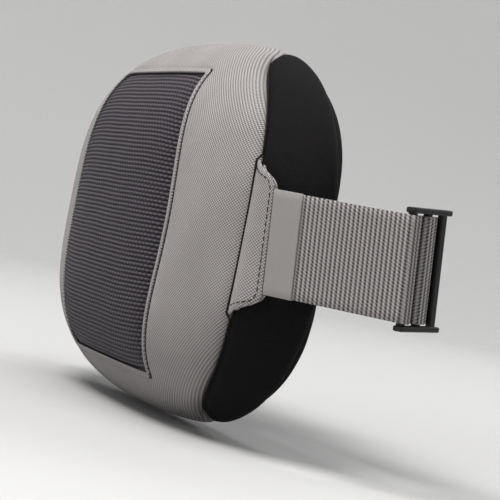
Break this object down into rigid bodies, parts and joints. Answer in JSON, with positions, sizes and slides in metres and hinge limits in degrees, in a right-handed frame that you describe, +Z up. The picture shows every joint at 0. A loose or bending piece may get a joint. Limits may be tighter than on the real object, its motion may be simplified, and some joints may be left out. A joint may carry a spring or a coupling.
{
  "type": "lumbar support cushion",
  "caption": "Oval lumbar support cushion with an air-mesh window, sewn side tongues and a webbing loop with slide adjuster and side-release buckle for a chair back.",
  "frame": {"origin": "middle of the cushion's flat rear face, which rests on the chair back", "axes": "+X across the chair back, to the right seen from the front; +Y out of the rear face towards the chair; +Z up"},
  "size_m": [0.4546, 0.1114, 0.206],
  "materials": {
    "foam": "open-cell moulded foam, matte",
    "gray_fabric": "warm gray woven polyester, fine basket weave, matte",
    "air_mesh": "charcoal knitted air mesh with fine cross ribs",
    "black_fabric": "black woven polyester, soft sheen",
    "webbing": "gray flat webbing with lengthwise speckle and cross ribs",
    "label": "blank satin woven label",
    "plastic": "moulded black plastic, satin",
    "zipper_tape": "black woven tape",
    "zipper_coil": "black nylon coil",
    "zipper_metal": "black enamelled zinc"
  },
  "bodies": {
    "cushion": {"foam_core": "foam", "front_panel": "gray_fabric", "window_binding": "gray_fabric", "mesh_panel": "air_mesh", "end_cap_right": "black_fabric", "end_cap_left": "black_fabric", "back_panel": "black_fabric", "zipper_tape": "zipper_tape", "zipper_coil": "zipper_coil", "zipper_stop_left": "zipper_metal", "zipper_stop_right": "zipper_metal", "tongue_right_outer": "gray_fabric", "tongue_right_inner": "gray_fabric", "tongue_left_outer": "gray_fabric", "tongue_left_inner": "gray_fabric", "strap_label": "label", "strap_right_front": "webbing", "strap_right_rear": "webbing", "strap_tail": "webbing", "strap_left": "webbing", "buckle_socket": "plastic", "buckle_plug": "plastic"},
    "zipper_slider": {"zipper_slider": "zipper_metal"},
    "zipper_pull": {"zipper_pull": "zipper_metal"},
    "adjuster": {"adjuster": "plastic", "strap_weave": "webbing"},
    "prong_upper": {"buckle_prong_upper": "plastic"},
    "prong_lower": {"buckle_prong_lower": "plastic"}
  },
  "joints": [
    {"name": "zipper_slide", "type": "slide", "parent": "cushion", "child": "zipper_slider", "axis": [1, 0, 0], "range_m": [0, 0.15]},
    {"name": "zipper_pull_flip", "type": "hinge", "parent": "zipper_slider", "child": "zipper_pull", "pos_m": [-0.0787, -0.00235, -0.052], "axis": [0, 0, 1], "range_deg": [0, 150]},
    {"name": "adjuster_tilt", "type": "hinge", "parent": "cushion", "child": "adjuster", "pos_m": [0.2248, 0.0119, 0], "axis": [0, -0.0889, 0.996], "range_deg": [-8, 4]},
    {"name": "prong_upper_press", "type": "hinge", "parent": "cushion", "child": "prong_upper", "pos_m": [-0.0127, 0.0401, 0.017], "axis": [0, 1, 0], "range_deg": [0, 6], "stiffness_Nm_per_rad": 0.4},
    {"name": "prong_lower_press", "type": "hinge", "parent": "cushion", "child": "prong_lower", "pos_m": [-0.0127, 0.0401, -0.017], "axis": [0, -1, 0], "range_deg": [0, 6], "stiffness_Nm_per_rad": 0.4}
  ],
  "couplings": [
    {"joint": "prong_lower_press", "follows": "prong_upper_press", "ratio": 1}
  ]
}
